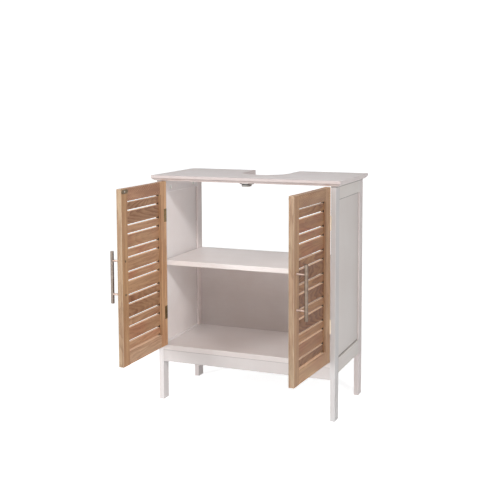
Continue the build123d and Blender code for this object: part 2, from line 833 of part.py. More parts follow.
os.makedirs("parts", exist_ok=True)

save(top_panel, "top_panel")
save(bottom_board, "bottom_board")
save(shelf, "shelf")
save(front_apron, "front_apron")
save(back_panel, "back_panel")
save(rail_dowels, "rail_dowels")
save(bottom_board_dowels, "bottom_board_dowels")
save(shelf_dowels, "shelf_dowels")
save(apron_dowels, "apron_dowels")
save(top_cam_locks, "top_cam_locks")
save(top_cam_bolts, "top_cam_bolts")
save(catch_housing, "catch_housing")
save(catch_pole_plates, "catch_pole_plates")
save(catch_magnet, "catch_magnet")
save(catch_screws, "catch_screws")

top_rail_h = (door_height - door_top_rail_height, door_height)
bottom_rail_h = (0, door_bottom_rail_height)
top_step = (top_rail_h[0], top_rail_h[0] + frame_step_width)
bottom_step = (bottom_rail_h[1] - frame_step_width, bottom_rail_h[1])
first_narrow_h = door_bottom_rail_height + slat_slot
first_wide_h = first_narrow_h + narrow_slat_height + slat_slot

for name, side in SIDES.items():
    save(build_front_post(side), f"{name}_front_post")
    save(build_rear_post(side), f"{name}_rear_post")
    save(build_side_rail(side, "top"), f"{name}_top_rail")
    save(build_side_rail(side, "bottom"), f"{name}_bottom_rail")
    save(build_side_panel(side), f"{name}_side_panel")
    save(build_post_leaves(side), f"{name}_post_hinge_leaves")
    save(build_pins(side), f"{name}_hinge_pins")
    save(build_post_leaf_screws(side), f"{name}_post_leaf_screws")

    door = f"{name}_door"
    save(build_hinge_stile(side), f"{door}_hinge_stile")
    save(build_free_stile(side), f"{door}_free_stile")
    save(build_door_rail(side, top_rail_h, top_step), f"{door}_top_rail")
    save(build_door_rail(side, bottom_rail_h, bottom_step), f"{door}_bottom_rail")
    save(build_slats(side, first_wide_h, wide_slat_height, wide_slat_count), f"{door}_wide_slats")
    save(build_slats(side, first_narrow_h, narrow_slat_height, narrow_slat_count),
         f"{door}_narrow_slats")
    save(build_door_leaves(side), f"{door}_hinge_leaves")
    save(build_leaf_screws(side), f"{door}_leaf_screws")
    save(build_strike_plate(side), f"{door}_strike_plate")
    save(build_strike_screw(side), f"{door}_strike_screw")
    save(build_handle_bar(side), f"{door}_handle_bar")
    save(build_standoffs(side), f"{door}_handle_standoffs")
    save(build_handle_screws(side), f"{door}_handle_screws")
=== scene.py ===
import math

import bpy
import numpy as np
from mathutils import Matrix, Vector


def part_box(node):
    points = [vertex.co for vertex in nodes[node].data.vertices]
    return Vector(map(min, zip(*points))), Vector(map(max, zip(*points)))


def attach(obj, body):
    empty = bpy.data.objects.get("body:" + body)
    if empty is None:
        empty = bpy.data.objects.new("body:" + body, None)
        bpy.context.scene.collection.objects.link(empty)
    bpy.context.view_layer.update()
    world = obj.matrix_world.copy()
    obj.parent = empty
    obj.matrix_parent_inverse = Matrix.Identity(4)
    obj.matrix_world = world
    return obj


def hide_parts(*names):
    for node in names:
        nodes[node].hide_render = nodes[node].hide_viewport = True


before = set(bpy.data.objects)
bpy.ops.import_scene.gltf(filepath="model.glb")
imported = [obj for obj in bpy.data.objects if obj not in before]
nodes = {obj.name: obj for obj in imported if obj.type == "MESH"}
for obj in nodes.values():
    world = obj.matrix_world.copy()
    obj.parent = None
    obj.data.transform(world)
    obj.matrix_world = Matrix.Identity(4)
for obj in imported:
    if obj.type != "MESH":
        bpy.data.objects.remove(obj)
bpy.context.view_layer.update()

scene = bpy.context.scene

# Sizes that the finishes and the added pieces share with the cabinet, in metres.
MM = 0.001
FRONT_Y = -0.0114  # plane of the posts' front faces
PIN_X = 0.2685  # the hinge pins, either side of the middle
DOOR_FOOT = 0.176  # height of the doors' lower edges
DOOR_WIDTH = 0.2665
DOOR_HEIGHT = 0.506
DOOR_THICKNESS = 0.016
SLAT_ZONE_HALF = 0.214  # half the height of the part of a door that the slats fill
HALF_SIDE_GAP = 0.0005  # from the pin's line to the door's hinge edge
OPEN_ANGLE = {"left": 90.5, "right": 86.5}  # degrees, as the photo shows the doors
SIDE = {"left": -1, "right": 1}


def door_axes(side):
    """The lower corner of a door's outer face at its hinge edge, and the door's three directions: s
    along the door from the hinge edge, h upwards, d inwards from the outer face."""
    angle, k = math.radians(OPEN_ANGLE[side]), SIDE[side]
    along = np.array([-k * math.cos(angle), -math.sin(angle), 0.0])
    inward = np.array([-k * math.sin(angle), math.cos(angle), 0.0])
    foot = np.array([k * PIN_X, FRONT_Y, DOOR_FOOT]) + along * HALF_SIDE_GAP
    return foot, along, np.array([0.0, 0.0, 1.0]), inward


# ---------------------------------------------------------------- shader maths


class Value:
    """A node socket: arithmetic on it adds Math nodes to its finish."""

    def __init__(self, finish, socket):
        self.finish = finish
        self.socket = socket

    def _math(self, operation, *others):
        values = [self, *others]
        return self.finish.node("ShaderNodeMath", {"operation": operation}, dict(enumerate(values)))

    def __add__(self, other):
        return self._math("ADD", other)

    def __sub__(self, other):
        return self._math("SUBTRACT", other)

    def __rsub__(self, other):
        return self.finish.node("ShaderNodeMath", {"operation": "SUBTRACT"}, {0: other, 1: self})

    def __mul__(self, other):
        return self._math("MULTIPLY", other)

    def __truediv__(self, other):
        return self._math("DIVIDE", other)

    def __pow__(self, other):
        return self._math("POWER", other)

    __radd__ = __add__
    __rmul__ = __mul__

    def whole(self):
        return self._math("FLOOR")

    def fraction(self):
        return self._math("FRACT")

    def size(self):
        return self._math("ABSOLUTE")

    def least(self, other):
        return self._math("MINIMUM", other)

    def most(self, other):
        return self._math("MAXIMUM", other)

    def ramp(self, low, high, to_low=0.0, to_high=1.0):
        """Goes smoothly from to_low at low to to_high at high, and stays there beyond."""
        return self.finish.node("ShaderNodeMapRange", {"interpolation_type": "SMOOTHSTEP"},
                                {0: self, 1: low, 2: high, 3: to_low, 4: to_high})


class Finish:
    """One material, or the world's light, built node by node."""

    def __init__(self, name, owner=None):
        self.material = owner or bpy.data.materials.new(name)
        self.material.use_nodes = True
        self.tree = self.material.node_tree
        self.tree.nodes.clear()

    def node(self, kind, settings=(), sockets=(), out=0):
        """Adds a node: its settings first, then its sockets' values or links."""
        made = self.tree.nodes.new(kind)
        for key, setting in dict(settings).items():
            setattr(made, key, setting)
        for key, given in dict(sockets).items():
            if isinstance(given, Value):
                self.tree.links.new(given.socket, made.inputs[key])
            else:
                made.inputs[key].default_value = given
        return Value(self, made.outputs[out] if made.outputs else None)

    def place(self, scale=(1, 1, 1), shift=(0, 0, 0)):
        """The object's own coordinates, scaled and shifted."""
        coords = self.node("ShaderNodeTexCoord", out="Object")
        return self.node("ShaderNodeMapping", {"vector_type": "POINT"},
                         {"Vector": coords, "Scale": scale, "Location": shift})

    def along(self, direction, origin):
        """Distance from a point in one direction."""
        coords = self.node("ShaderNodeTexCoord", out="Object")
        apart = self.node("ShaderNodeVectorMath", {"operation": "SUBTRACT"}, {0: coords, 1: tuple(origin)})
        return self.node("ShaderNodeVectorMath", {"operation": "DOT_PRODUCT"},
                         {0: apart, 1: tuple(direction)}, "Value")

    def axes(self, vector):
        """The three parts of a vector."""
        apart = self.node("ShaderNodeSeparateXYZ", (), {0: vector})
        outputs = apart.socket.node.outputs
        return [Value(self, outputs[i]) for i in range(3)]

    def joined(self, x, y, z):
        """A vector made of three values."""
        return self.node("ShaderNodeCombineXYZ", (), {0: x, 1: y, 2: z})

    def noise(self, vector, scale, detail, roughness):
        """Cloudy pattern from 0 to 1."""
        return self.node("ShaderNodeTexNoise", {"noise_dimensions": "3D"},
                         {"Vector": vector, "Scale": scale, "Detail": detail, "Roughness": roughness})

    def cells(self, vector, scale):
        """Distance to the nearest point of a scatter."""
        return self.node("ShaderNodeTexVoronoi", {"feature": "F1"}, {"Vector": vector, "Scale": scale})

    def chance(self, value):
        """A steady random number for each whole number."""
        return self.node("ShaderNodeTexWhiteNoise", {"noise_dimensions": "1D"}, {"W": value}, "Value")

    def mix(self, first, second, factor):
        """Blend of two colours."""
        return self.node("ShaderNodeMix", {"data_type": "RGBA", "blend_type": "MIX"},
                         {0: factor, 6: first, 7: second}, 2)

    def tint(self, color, other, factor):
        """Colour multiplied by another, in part."""
        return self.node("ShaderNodeMix", {"data_type": "RGBA", "blend_type": "MULTIPLY"},
                         {0: factor, 6: color, 7: other}, 2)

    def bump(self, height, strength, distance):
        """Normal of a surface that a height raises."""
        return self.node("ShaderNodeBump", (),
                         {"Height": height, "Strength": strength, "Distance": distance})

    def surface(self, color, roughness, normal, **uniform):
        """Principled surface; uniform values are set on its own sockets."""
        sockets = {"Base Color": color, "Roughness": roughness, "Normal": normal}
        for key, given in uniform.items():
            sockets[key.replace("_", " ")] = given
        shader = self.node("ShaderNodeBsdfPrincipled", (), sockets)
        self.node("ShaderNodeOutputMaterial", (), {"Surface": shader})
        return self.material


def srgb(red, green, blue):
    """Linear colour of an sRGB one given from 0 to 255."""
    parts = [c / 255 for c in (red, green, blue)]
    return tuple(c / 12.92 if c <= 0.04045 else ((c + 0.055) / 1.055) ** 2.4 for c in parts) + (1.0,)


# ---------------------------------------------------------------- finishes


def nearest_edge(distances):
    """Distance to the nearest edge of a box: the second smallest of those to its pairs of faces."""
    a, b, c = distances
    return a.most(b).least(a.least(b).most(c))


def white_lacquer(name, along, seed, box, light_tint, seams, shaded_zone, outer):
    """Sprayed satin lacquer on board: soft drifts of tone, orange-peel skin, the board's fibre showing
    faintly along the piece, paler towards the edges, and a dark line at each seam: the joint, with painted
    shade along it. A seam is given by its axis, its place, half its width and its strength. light_tint
    lightens or darkens the whole piece as painted light and shade. shaded_zone gives an axis, the place
    along it beyond which the painted shade is full, the place where it is gone again, and how strong it
    gets. outer is the side of x whose face alone shows the level seams, or 0 for both."""
    finish = Finish(name)
    shift = (seed * 0.37, seed * 0.61, seed * 0.23)
    plain = finish.place(shift=shift)
    stretch = [LACQUER_FIBRE_ACROSS] * 3
    stretch["xyz".index(along)] = LACQUER_FIBRE_ALONG
    fibre = finish.noise(finish.place(scale=tuple(stretch), shift=shift), 4.0, 4.0, 0.55)
    drift = finish.noise(plain, 5.0, 2.0, 0.5)
    cloud = finish.noise(plain, 28.0, 3.0, 0.6)
    peel = finish.noise(plain, 650.0, 2.0, 0.5)
    specks = finish.cells(plain, 160.0).ramp(0.02, 0.10, 1.0, 0.0)
    middle, half = (box[0] + box[1]) / 2, (box[1] - box[0]) / 2
    places = finish.axes(finish.place(shift=tuple(-middle)))
    edge = nearest_edge([half[i] - places[i].size() for i in range(3)])
    edge = edge.ramp(0.2 * MM, 2.2 * MM, 1.0, 0.0)
    tone = drift.ramp(0.35, 0.68) * 0.6 + cloud.ramp(0.3, 0.7) * 0.25 + fibre.ramp(0.3, 0.7) * 0.15
    color = finish.mix(LACQUER_WARM, LACQUER_COOL, tone)
    color = finish.mix(color, LACQUER_EDGE, edge * 0.7)
    color = finish.mix(color, LACQUER_SPECK, specks * cloud.ramp(0.55, 0.75) * 0.5)
    # painted light and shade: the whole piece lightened or darkened by its tint
    color = finish.tint(color, (*light_tint, 1.0), 1.0)
    # painted shade over part of the piece: the front faces of the top and of the bottom board, the back
    # panel towards the bottom, the rear post above its leg
    if shaded_zone:
        axis, darkest, whole, strength = shaded_zone
        i = "xyz".index(axis)
        color = finish.tint(color, ZONE_SHADE, (places[i] + middle[i]).ramp(darkest, whole, strength, 0.0))
    # each seam's dark line: the joint, with painted shade along it
    for axis, value, half_width, strength in seams:
        i = "xyz".index(axis)
        line = (places[i] - (value - middle[i])).size()
        line = line.ramp(0.7 * half_width, half_width, strength, 0.0)
        if outer and axis == "z":
            line = line * (places[0] * outer).ramp(0.5 * MM, 1.0 * MM)
        color = finish.mix(color, SEAM_AND_SHADE, line * cloud.ramp(0.2, 0.6, 0.75, 1.0))
    height = peel * 0.6 + fibre * 0.25 + cloud * 0.15
    return finish.surface(color, cloud.ramp(0.25, 0.75, 0.36, 0.48) + edge * 0.05,
                          finish.bump(height, 0.12, 0.4 * MM), Specular_IOR_Level=0.45)


LACQUER_WARM, LACQUER_COOL = srgb(233, 224, 220), srgb(241, 235, 232)
LACQUER_EDGE, LACQUER_SPECK = srgb(244, 239, 236), srgb(214, 203, 196)
LACQUER_FIBRE_ACROSS, LACQUER_FIBRE_ALONG = 90.0, 5.0
# colour of the seams' dark lines: the joints, with painted shade along them
SEAM_AND_SHADE = srgb(92, 84, 82)
# colour of the painted shade over part of a piece
ZONE_SHADE = (0.65, 0.625, 0.615, 1.0)

WOOD_LIGHT, WOOD_MIDDLE, WOOD_DARK = srgb(216, 181, 145), srgb(186, 147, 114), srgb(134, 97, 70)
# the pores' dark colour also serves as the painted shade in the doors' grooves
WOOD_PINK, PORE_AND_SHADE, WOOD_EDGE = srgb(194, 138, 108), srgb(84, 54, 36), srgb(222, 190, 155)
# colours of the painted highlight on the slats' top edges and of the painted shade at the slots' hinge ends
SLAT_EDGE_HIGHLIGHT, END_SHADE = srgb(242, 210, 182), srgb(40, 25, 16)
FREE_EDGE_TINT = (0.77, 0.91, 1.10, 1.0)
RING_WIDTH = 5.0 * MM
PITH_DEPTH = 6.0 * MM  # from the outer face out to the pith, at the pith's start
WANDER_ACROSS, WANDER_DEEP = 16.0 * MM, 8.0 * MM  # how far the pith wavers
EDGE_HIGHLIGHT = 0.85  # how strongly the painted highlight covers the slats' lit top edges
SLOT_END = (45.5 * MM, 47.0 * MM)  # s where the painted shade at the slots' hinge ends passes into the painted highlight along them
LOWEST_SLOT = DOOR_HEIGHT / 2 - SLAT_ZONE_HALF  # h of the bottom rail's upper edge


def slat_grain(finish, s, h, slats, seed, figure):
    """The grain of a row of slats, as stained_wood takes it. Chance gives every slat its own: the width
    is measured from the slat's middle, and the pith starts, leans, dives and turns round differently
    in each. figure scales how strongly the rings and the tone show."""
    first, pitch, slat_height = slats
    number = ((h - first) / pitch).whole()
    width = h - first - number * pitch - slat_height / 2
    chances = [finish.chance(number + seed * 7.0 + 31.0 * k) for k in range(6)]
    tone, start, offset, pink, turned_round, lean = chances
    start = start * 0.10 - 0.10
    offset = offset * 0.028 - 0.014
    tilt = tone.ramp(0.3, 1.0, 0.05, 0.16)
    skew = lean * 0.22 - 0.11
    run = s - turned_round.ramp(0.49, 0.51) * (s * 2.0 - DOOR_WIDTH)
    length = s + number * 0.7
    strong = tone.ramp(0.25, 0.85, 0.35, 1.15) * figure
    tone = tone.ramp(0.15, 0.95, 0.0, 0.75) * figure
    return width, length, run, start, offset, tone, pink, tilt, skew, strong


def stained_wood(name, side, upright, seed, stain_and_light, tilt=0.02, skew=0.0, strong=0.4, slats=None, groove=None):
    """Brown stained timber. A growth ring is where the distance to the pith, √(across² + depth²), passes
    a whole number of ring widths. The pith draws away along the board by tilt, which draws the rings
    out into arches, and leans across it by skew. Fibres, open pores, pink drifts and a tone of its own
    for every piece lie over them. stain_and_light scales the colour, for the stain and as painted light
    and shade. slats gives the lowest slat's foot, the pitch and the slat's height; groove is the groove
    that holds the slats' ends, as groove_shade takes it."""
    finish = Finish(name)
    foot, lengthways, upwards, inwards = door_axes(side)
    s, h, d = (finish.along(direction, foot) for direction in (lengthways, upwards, inwards))
    length, width = (h, s) if upright else (s, h)
    run = length
    draw = np.random.default_rng(seed)
    start, offset, tone = draw.uniform(-0.2, 0.1), draw.uniform(-0.01, 0.03), draw.uniform(0.0, 0.35)
    pink = draw.uniform(0.1, 0.5)
    if slats:
        width, length, run, start, offset, tone, pink, tilt, skew, strong = \
            slat_grain(finish, s, h, slats, seed, strong)
    spot = finish.joined(length * 7.0 + seed, width * 32.0, d * 32.0 + seed * 1.7)
    wander = finish.noise(spot, 1.0, 3.0, 0.5)
    across = width - offset + (run - DOOR_WIDTH / 2) * skew + (wander - 0.5) * WANDER_ACROSS
    depth = d + PITH_DEPTH + (run - start) * tilt + (wander - 0.5) * WANDER_DEEP
    radius = (across ** 2.0 + depth ** 2.0) ** 0.5
    rings = (radius / RING_WIDTH + wander * 2.2).fraction()
    late = rings.ramp(0.15, 0.85) - rings.ramp(0.9, 1.0)
    fibre = finish.noise(finish.joined(length * 14.0, width * 520.0, d * 520.0), 1.0, 4.0, 0.62)
    streak = finish.noise(finish.joined(length * 4.0 + seed, width * 85.0, d * 85.0), 1.0, 3.0, 0.6)
    blotch = finish.noise(finish.joined(length * 9.0 + seed, width * 22.0, d * 22.0), 1.0, 2.0, 0.5)
    pores = finish.noise(finish.joined(length * 70.0, width * 1300.0, d * 1300.0), 1.0, 1.0, 0.4)
    pores = pores.ramp(0.64, 0.78)
    color = finish.mix(WOOD_MIDDLE, WOOD_LIGHT, streak.ramp(0.34, 0.70))
    color = finish.mix(color, WOOD_PINK, blotch.ramp(0.42, 0.66) * pink)
    arches = late * strong * blotch.ramp(0.30, 0.62, 0.35, 0.95)
    color = finish.mix(color, WOOD_DARK, arches + fibre.ramp(0.5, 0.78) * 0.20)
    color = finish.mix(color, WOOD_DARK, blotch.ramp(0.35, 0.75, 0.6, 1.0) * tone)
    color = finish.mix(color, PORE_AND_SHADE, pores * (late * 0.5 + 0.25))
    color = finish.tint(color, (*stain_and_light, 1.0), 1.0)
    if slats:
        half = slats[2] / 2
        top = width.ramp(half - 1.6 * MM, half - 0.9 * MM)
        bottom = width.ramp(1.2 * MM - half, 2.0 * MM - half, 1.0, 0.0)
        end = s.ramp(*SLOT_END, 1.0, 0.0)
        # painted highlight on the slats' top edges, away from the hinge ends
        highlight = top * (1 - end) * EDGE_HIGHLIGHT
        color = finish.mix(color, SLAT_EDGE_HIGHLIGHT, highlight)
        # painted shade on the slats' edges at the slots' hinge ends
        color = finish.mix(color, END_SHADE, top.most(bottom) * end)
    else:
        # painted highlight where the lowest slot is lit along the bottom rail's upper edge
        highlight = h.ramp(LOWEST_SLOT - 0.7 * MM, LOWEST_SLOT - 0.2 * MM) * s.ramp(*SLOT_END)
        highlight = highlight * h.ramp(LOWEST_SLOT, LOWEST_SLOT + 1.0 * MM, 1.0, 0.0) * (0.0 if upright else EDGE_HIGHLIGHT)
        color = finish.mix(color, SLAT_EDGE_HIGHLIGHT, highlight)
        sizes = (DOOR_WIDTH, DOOR_HEIGHT, DOOR_THICKNESS)
        edge = nearest_edge([size / 2 - (place - size / 2).size() for place, size in zip((s, h, d), sizes)])
        color = finish.mix(color, WOOD_EDGE, edge.ramp(0.3 * MM, 1.8 * MM, 0.45, 0.0))
        # the free edge face is tinted less red and a little bluer
        free_edge = s.ramp(DOOR_WIDTH - 1.0 * MM, DOOR_WIDTH - 0.3 * MM)
        color = finish.tint(color, FREE_EDGE_TINT, free_edge)
    if groove:
        # painted shade inside the groove that holds the slats' ends and on the step beside it
        color = finish.mix(color, PORE_AND_SHADE, groove_shade(s, h, d, groove))
    height = fibre * 0.45 + late * -0.2 + pores * -0.7
    return finish.surface(color, streak.ramp(0.3, 0.75, 0.40, 0.54) + pores * 0.12 + highlight * 0.3,
                          finish.bump(height, 0.35, 0.4 * MM), Specular_IOR_Level=0.2)


def groove_shade(s, h, d, groove):
    """Mask of painted shade: 1 inside the groove that holds the slats' ends, and a softer painted shade on
    the step beside it. groove gives the places, along the door, of its deepest part, of its edge and of
    the step's start, and the strength of the step's shade."""
    deepest, edge, step, shade = groove
    half_depth, half_step = abs(edge - deepest) / 2, abs(edge - step) / 2
    beside = (h - DOOR_HEIGHT / 2).size().ramp(SLAT_ZONE_HALF, SLAT_ZONE_HALF + 1.5 * MM, 1.0, 0.0)
    across = (s - (deepest + edge) / 2).size().ramp(half_depth - 0.2 * MM, half_depth, 1.0, 0.0)
    inside = (d - DOOR_THICKNESS / 2).size().ramp(2.7 * MM, 3.0 * MM, 1.0, 0.0)
    on_step = (s - (step + edge) / 2).size().ramp(half_step, half_step + 0.3 * MM, 1.0, 0.0)
    return beside * (across * inside).most(on_step * shade)


def satin_metal(name, color, worn, roughness, brushing=(40.0, 40.0, 900.0)):
    """Satin metal: hair-fine brushing round the piece, with cloudy handling marks."""
    finish = Finish(name)
    lines = finish.noise(finish.place(scale=brushing), 1.0, 3.0, 0.6)
    cloud = finish.noise(finish.place(), 90.0, 3.0, 0.55)
    mixed = finish.mix(color, worn, cloud.ramp(0.35, 0.7) * 0.6 + lines.ramp(0.35, 0.7) * 0.25)
    rough = cloud.ramp(0.3, 0.7, roughness - 0.05, roughness + 0.07) + lines * 0.05
    return finish.surface(mixed, rough, finish.bump(lines, 0.18, 0.2 * MM), Metallic=1.0)


BRASS_NEAR_PIN, BRASS_DULL, BRASS_STAIN = srgb(226, 212, 192), srgb(138, 114, 74), srgb(104, 86, 56)


def hinge_brass(name, side):
    """Brass of a hinge: cream-coloured round the pin, and dull olive where the door's leaf lies on the
    door's inner face, far enough inwards from the outer one."""
    finish = Finish(name)
    foot, _, _, inwards = door_axes(side)
    dull = finish.along(inwards, foot).ramp(9.0 * MM, 13.0 * MM)
    lines = finish.noise(finish.place(scale=(500.0, 500.0, 40.0)), 1.0, 3.0, 0.6)
    cloud = finish.noise(finish.place(), 90.0, 3.0, 0.55)
    color = finish.mix(BRASS_NEAR_PIN, BRASS_DULL, dull)
    color = finish.mix(color, BRASS_STAIN, cloud.ramp(0.4, 0.75) * (dull * 0.6 + 0.1))
    return finish.surface(color, cloud.ramp(0.3, 0.7, 0.38, 0.52) + lines * 0.05,
                          finish.bump(lines, 0.18, 0.2 * MM), Metallic=1.0)


def moulded_plastic(name, color, other):
    """Moulded plastic with a fine spark-eroded texture."""
    finish = Finish(name)
    grit = finish.noise(finish.place(), 1900.0, 2.0, 0.6)
    cloud = finish.noise(finish.place(), 60.0, 2.0, 0.5)
    return finish.surface(finish.mix(color, other, cloud.ramp(0.3, 0.7)), grit.ramp(0.3, 0.7, 0.42, 0.56),
                          finish.bump(grit, 0.25, 0.3 * MM))


def raw_beech(name):
    """Turned beech with its short dark flecks."""
    finish = Finish(name)
    flecks = finish.noise(finish.place(scale=(900.0, 60.0, 900.0)), 1.0, 2.0, 0.5).ramp(0.6, 0.75)
    tone = finish.noise(finish.place(), 120.0, 3.0, 0.5)
    color = finish.mix(srgb(214, 184, 142), srgb(196, 160, 116), tone)
    color = finish.mix(color, srgb(140, 96, 60), flecks * 0.6)
    return finish.surface(color, tone.ramp(0.2, 0.8, 0.55, 0.68), finish.bump(tone, 0.2, 0.3 * MM))


# ---------------------------------------------------------------- dressing the CAD pieces


def dress(name, material):
    """Gives a CAD node one material in every slot."""
    mesh = nodes[name].data
    if not mesh.materials:
        mesh.materials.append(material)
    for i in range(len(mesh.materials)):
        mesh.materials[i] = material


UNDER_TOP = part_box("right_top_rail")[1].z
TOP_RAIL_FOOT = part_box("right_top_rail")[0].z
BOTTOM_RAIL_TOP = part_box("right_bottom_rail")[1].z
APRON_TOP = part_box("front_apron")[1].z
FRONT_POST_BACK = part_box("right_front_post")[1].y
REAR_POST_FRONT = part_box("right_rear_post")[0].y
BOARD_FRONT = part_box("bottom_board")[0].y
TOP_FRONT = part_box("top_panel")[0].y

# painted shadow under the overhanging top, on the posts and the top rails
SHADE_UNDER_TOP = [("z", UNDER_TOP, 5.0 * MM, 0.8)]
RAIL_ENDS = [("y", FRONT_POST_BACK, 0.4 * MM, 0.4), ("y", REAR_POST_FRONT, 0.4 * MM, 0.4)]
RAIL_SEAMS = SHADE_UNDER_TOP + RAIL_ENDS
# painted shade in the recess round each side panel, along its joints with the rails and the posts
PANEL_SEAMS = [("z", TOP_RAIL_FOOT, 3.4 * MM, 0.95), ("z", BOTTOM_RAIL_TOP, 2.6 * MM, 0.9),
               ("y", FRONT_POST_BACK, 1.4 * MM, 0.8), ("y", REAR_POST_FRONT, 1.4 * MM, 0.8)]
BOARD_SEAM = [("z", APRON_TOP, 0.7 * MM, 0.6)]
# Of each white piece: the way its fibre runs, a tint that lightens or darkens it as painted light and shade,
# and its seams.
WHITE_PIECES = {
    "top_panel": ("x", (0.86, 0.82, 0.83), ()),
    "shelf": ("x", (1.04, 1.04, 1.05), ()),
    "bottom_board": ("x", (0.88, 0.88, 0.89), BOARD_SEAM),
    "front_apron": ("x", (0.70, 0.70, 0.71), BOARD_SEAM),
    "back_panel": ("x", (1.05, 1.05, 1.06), ()),
    "left_top_rail": ("y", (1.0, 1.02, 1.05), RAIL_SEAMS),
    "right_top_rail": ("y", (0.81, 0.80, 0.78), RAIL_SEAMS),
    "left_bottom_rail": ("y", (1.0, 1.02, 1.05), RAIL_ENDS),
    "right_bottom_rail": ("y", (0.81, 0.80, 0.78), RAIL_ENDS),
    "left_side_panel": ("z", (1.04, 1.06, 1.08), PANEL_SEAMS),
    "right_side_panel": ("z", (0.80, 0.79, 0.78), PANEL_SEAMS),
    "left_front_post": ("z", (0.87, 0.88, 0.90), SHADE_UNDER_TOP),
    "right_front_post": ("z", (0.69, 0.71, 0.73), SHADE_UNDER_TOP),
    "left_rear_post": ("z", (1.07, 1.04, 1.05), SHADE_UNDER_TOP),
    "right_rear_post": ("z", (0.95, 0.92, 0.93), SHADE_UNDER_TOP),
}
# Where a piece is darkened by painted shade: the axis, the place where the shade is full, the place where it
# is gone, how strong.
SHADED_ZONES = {
    "right_rear_post": ("z", 0.135, 0.125, 0.47),
    "back_panel": ("z", 0.17, 0.42, 1.0),
    "top_panel": ("y", TOP_FRONT + 3.0 * MM, TOP_FRONT + 5.0 * MM, 0.7),
    "bottom_board": ("y", BOARD_FRONT + 1.5 * MM, BOARD_FRONT + 3.0 * MM, 0.35),
}
for seed, (name, (along, light_tint, seams)) in enumerate(WHITE_PIECES.items(), 1):
    outer = SIDE[name.split("_")[0]] if "side_panel" in name else 0
    dress(name, white_lacquer(f"white_lacquer_{name}", along, seed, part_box(name), light_tint, seams,
                              SHADED_ZONES.get(name), outer))

# Each door piece's colour is scaled, partly for the stain taking differently on every piece and partly as
# painted light and shade: the right door's pieces darker, the left hinge stile lighter.
STAIN_AND_LIGHT = {
    "left": {
        "hinge_stile": (1.14, 1.08, 1.0), "free_stile": (0.99, 0.94, 0.85),
        "top_rail": (0.90, 0.79, 0.82), "bottom_rail": (0.97, 0.98, 1.05),
        "wide_slats": (0.83, 0.76, 0.72), "narrow_slats": (0.86, 0.78, 0.75),
    },
    "right": {
        "hinge_stile": (0.89, 0.87, 0.88), "free_stile": (0.81, 0.76, 0.7),
        "top_rail": (0.79, 0.73, 0.7), "bottom_rail": (0.86, 0.82, 0.78),
        "wide_slats": (0.6, 0.47, 0.39), "narrow_slats": (0.65, 0.52, 0.42),
    },
}
FIRST_SEED = {"left": 3, "right": 23}
FIGURE = {"left": 0.7, "right": 1.05}  # how strongly the slats' rings show
SLAT_PITCH = 66.83 * MM
WIDE_SLATS = (68.52 * MM, SLAT_PITCH, 37.3 * MM)  # the lowest one's foot, the pitch, the height
NARROW_SLATS = (43.0 * MM, SLAT_PITCH, 21.52 * MM)
HINGE_GROOVE = (31.0 * MM, 40.2 * MM, 35.0 * MM, 0.35)  # its deepest part, its edge, the step and its shade
FREE_GROOVE = (240.0 * MM, 231.3 * MM, 234.0 * MM, 0.12)
for side in SIDE:
    figure = FIGURE[side]
    pieces = {
        "hinge_stile": dict(upright=True, groove=HINGE_GROOVE),
        "free_stile": dict(upright=True, groove=FREE_GROOVE),
        "top_rail": dict(upright=False, tilt=0.16, skew=0.35, strong=0.9),
        "bottom_rail": dict(upright=False, tilt=0.05),
        "wide_slats": dict(upright=False, strong=figure, slats=WIDE_SLATS),
        "narrow_slats": dict(upright=False, strong=figure, slats=NARROW_SLATS),
    }
    for seed, (kind, how) in enumerate(pieces.items(), FIRST_SEED[side]):
        name = f"{side}_door_{kind}"
        dress(name, stained_wood(f"stained_wood_{name}", side, seed=seed, stain_and_light=STAIN_AND_LIGHT[side][kind], **how))

# Painted shade and reflection on the handles: the right bar's nickel is darker and browner than the left's,
# and the posts' nickel is pink-tinged and lighter, standing in for the wood and light they reflect.
bar_nickel_lit_and_shaded = {"left": satin_metal("left_bar_nickel", srgb(136, 125, 117), srgb(112, 101, 94), 0.40),
              "right": satin_metal("right_bar_nickel", srgb(126, 113, 102), srgb(102, 87, 76), 0.42)}
post_nickel_reflection = satin_metal("post_nickel_reflection", srgb(176, 156, 146), srgb(136, 114, 102), 0.42)
brass = {side: hinge_brass(f"hinge_brass_{side}", side) for side in SIDE}
dark_bronze = satin_metal("dark_bronze", srgb(126, 110, 88), srgb(98, 84, 66), 0.36, (60.0, 60.0, 700.0))
zinc_plate = satin_metal("zinc_plate", srgb(196, 194, 190), srgb(170, 168, 164), 0.34)
magnet_black = moulded_plastic("magnet_ferrite", srgb(52, 48, 47), srgb(66, 61, 58))
catch_grey = moulded_plastic("catch_grey", srgb(150, 143, 136), srgb(138, 131, 124))
beech = raw_beech("raw_beech")

for name in nodes:
    if "dowels" in name:
        dress(name, beech)
    elif "handle" in name:
        dress(name, post_nickel_reflection)
    elif "strike" in name:
        dress(name, dark_bronze)
    elif "hinge_leaves" in name or "hinge_pins" in name or "leaf_screws" in name:
        dress(name, brass[name.split("_")[0]])
    elif "cam_" in name or name in ("catch_screws", "catch_pole_plates"):
        dress(name, zinc_plate)
dress("catch_housing", catch_grey)
dress("catch_magnet", magnet_black)


# ---------------------------------------------------------------- shapes of the added pieces


